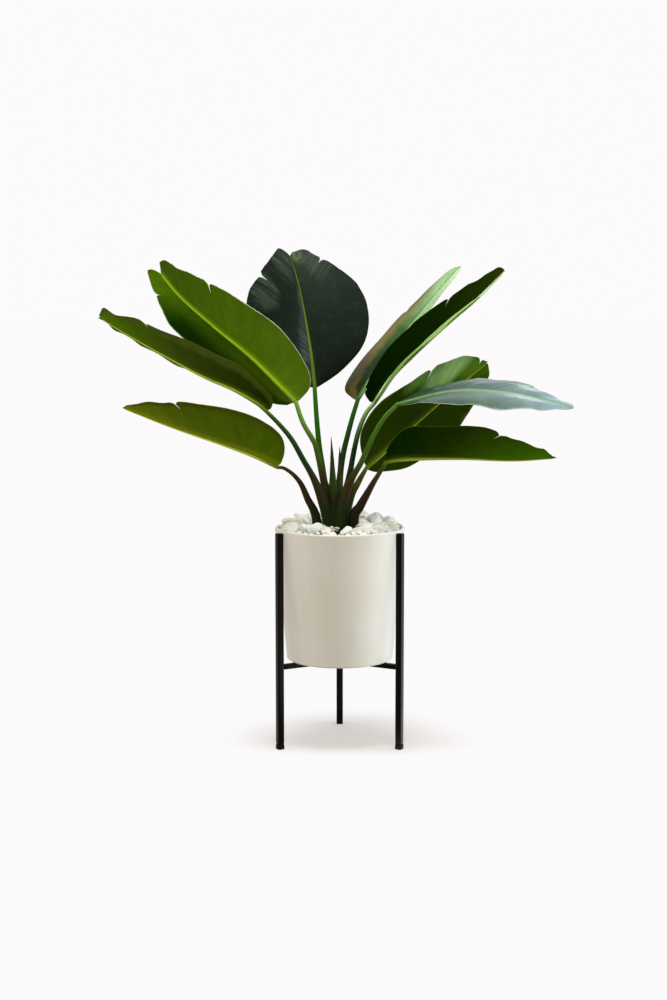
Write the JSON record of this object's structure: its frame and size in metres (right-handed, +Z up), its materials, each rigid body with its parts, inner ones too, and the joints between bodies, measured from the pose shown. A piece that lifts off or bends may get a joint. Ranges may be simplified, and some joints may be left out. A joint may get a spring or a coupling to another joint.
{
  "type": "potted banana plant",
  "caption": "Young banana plant with wide torn leaves in a white glazed pot filled with pale stones, on a black three-legged metal stand.",
  "frame": {"origin": "on the floor, under the middle of the whole plant's box", "axes": "+Z up, +X to the right seen from the front, +Y to the back; the stand's single back leg is on the +Y side of the pot"},
  "size_m": [0.8408, 0.6984, 0.9634],
  "materials": {
    "stand": "satin black",
    "feet": "matte",
    "pot": "smooth white glaze",
    "soil": "crumbly, matte",
    "pebbles": "polished",
    "leaf": "waxy",
    "shoot": "waxy"
  },
  "bodies": {
    "root": {"leg_left": "stand", "leg_right": "stand", "leg_back": "stand", "arm_left": "stand", "arm_right": "stand", "arm_back": "stand", "hub": "stand", "foot_left": "feet", "foot_right": "feet", "foot_back": "feet", "pot": "pot", "soil": "soil", "pebbles": "pebbles", "leaf_low_left": "leaf", "leaf_mid_left": "leaf", "leaf_high_left": "leaf", "leaf_back": "leaf", "leaf_back_right": "leaf", "leaf_high_right": "leaf", "leaf_mid_right": "leaf", "leaf_front_right": "leaf", "leaf_low_right": "leaf", "shoot_tall": "shoot", "shoot_short": "shoot"}
  },
  "joints": []
}
